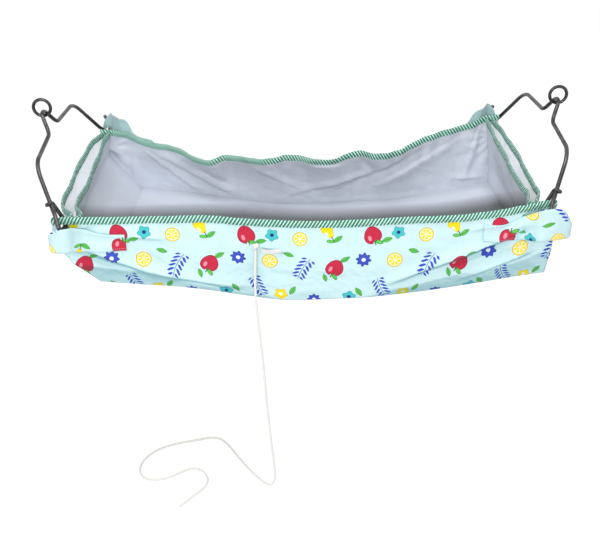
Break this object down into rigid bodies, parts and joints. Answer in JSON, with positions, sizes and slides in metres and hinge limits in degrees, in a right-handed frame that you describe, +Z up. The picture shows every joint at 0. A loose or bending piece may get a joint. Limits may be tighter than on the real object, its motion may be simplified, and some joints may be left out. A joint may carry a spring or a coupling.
{
  "type": "hanging baby cradle",
  "caption": "Hanging cradle: box-shaped cotton trough with tape-bound rims, carried by corner straps on bent steel bails with hanging rings, and a front pull cord.",
  "frame": {"origin": "highest point of the inside of the left ring, where an outside hook carries it", "axes": "+X from the left ring towards the right ring, +Z up, -Y towards the front with the pull cord"},
  "size_m": [1.0648, 0.6016, 0.8143],
  "materials": {
    "printed_cotton": "pale aqua plain-weave cotton with a scattered fruit and flower print",
    "lining_cotton": "plain off-white cotton lining, matt",
    "striped_binding": "bias binding with fine diagonal stripes in green and pale aqua",
    "bail_steel": "bare drawn steel rod, dark with bright highlights",
    "ring_steel": "bare steel rod, dark",
    "white_cotton": "white braided cotton cord and tape"
  },
  "bodies": {
    "sling": {"outer_front_panel": "printed_cotton", "outer_back_panel": "printed_cotton", "outer_base_panel": "printed_cotton", "outer_left_end_panel": "printed_cotton", "outer_right_end_panel": "printed_cotton", "lining_front_panel": "lining_cotton", "lining_back_panel": "lining_cotton", "lining_base_panel": "lining_cotton", "lining_left_end_panel": "lining_cotton", "lining_right_end_panel": "lining_cotton", "front_rim_binding": "striped_binding", "back_rim_binding": "striped_binding", "left_end_binding": "striped_binding", "right_end_binding": "striped_binding", "left_lining_binding": "striped_binding", "right_lining_binding": "striped_binding", "front_left_strap": "printed_cotton", "front_right_strap": "printed_cotton", "back_left_strap": "printed_cotton", "back_right_strap": "printed_cotton", "cord_tape": "white_cotton", "cord_knot": "white_cotton", "pull_cord": "white_cotton"},
    "left_bail": {"left_bail": "bail_steel"},
    "right_bail": {"right_bail": "bail_steel"},
    "left_ring": {"left_ring": "ring_steel"},
    "right_ring": {"right_ring": "ring_steel"}
  },
  "joints": [
    {"name": "left_bail_swing", "type": "hinge", "parent": "sling", "child": "left_bail", "pos_m": [0.06892, 0, -0.16654], "axis": [0, 1, 0], "range_deg": [-68, 26]},
    {"name": "right_bail_swing", "type": "hinge", "parent": "sling", "child": "right_bail", "pos_m": [0.95592, 0, -0.16654], "axis": [0, -1, 0], "range_deg": [-68, 26]},
    {"name": "left_ring_rock", "type": "hinge", "parent": "left_bail", "child": "left_ring", "pos_m": [0, 0, -0.03025], "axis": [1, 0, 0], "range_deg": [-35, 35]},
    {"name": "right_ring_rock", "type": "hinge", "parent": "right_bail", "child": "right_ring", "pos_m": [1.02483, 0, -0.03025], "axis": [1, 0, 0], "range_deg": [-35, 35]}
  ],
  "couplings": [
    {"joint": "right_ring_rock", "follows": "left_ring_rock", "ratio": 1}
  ]
}
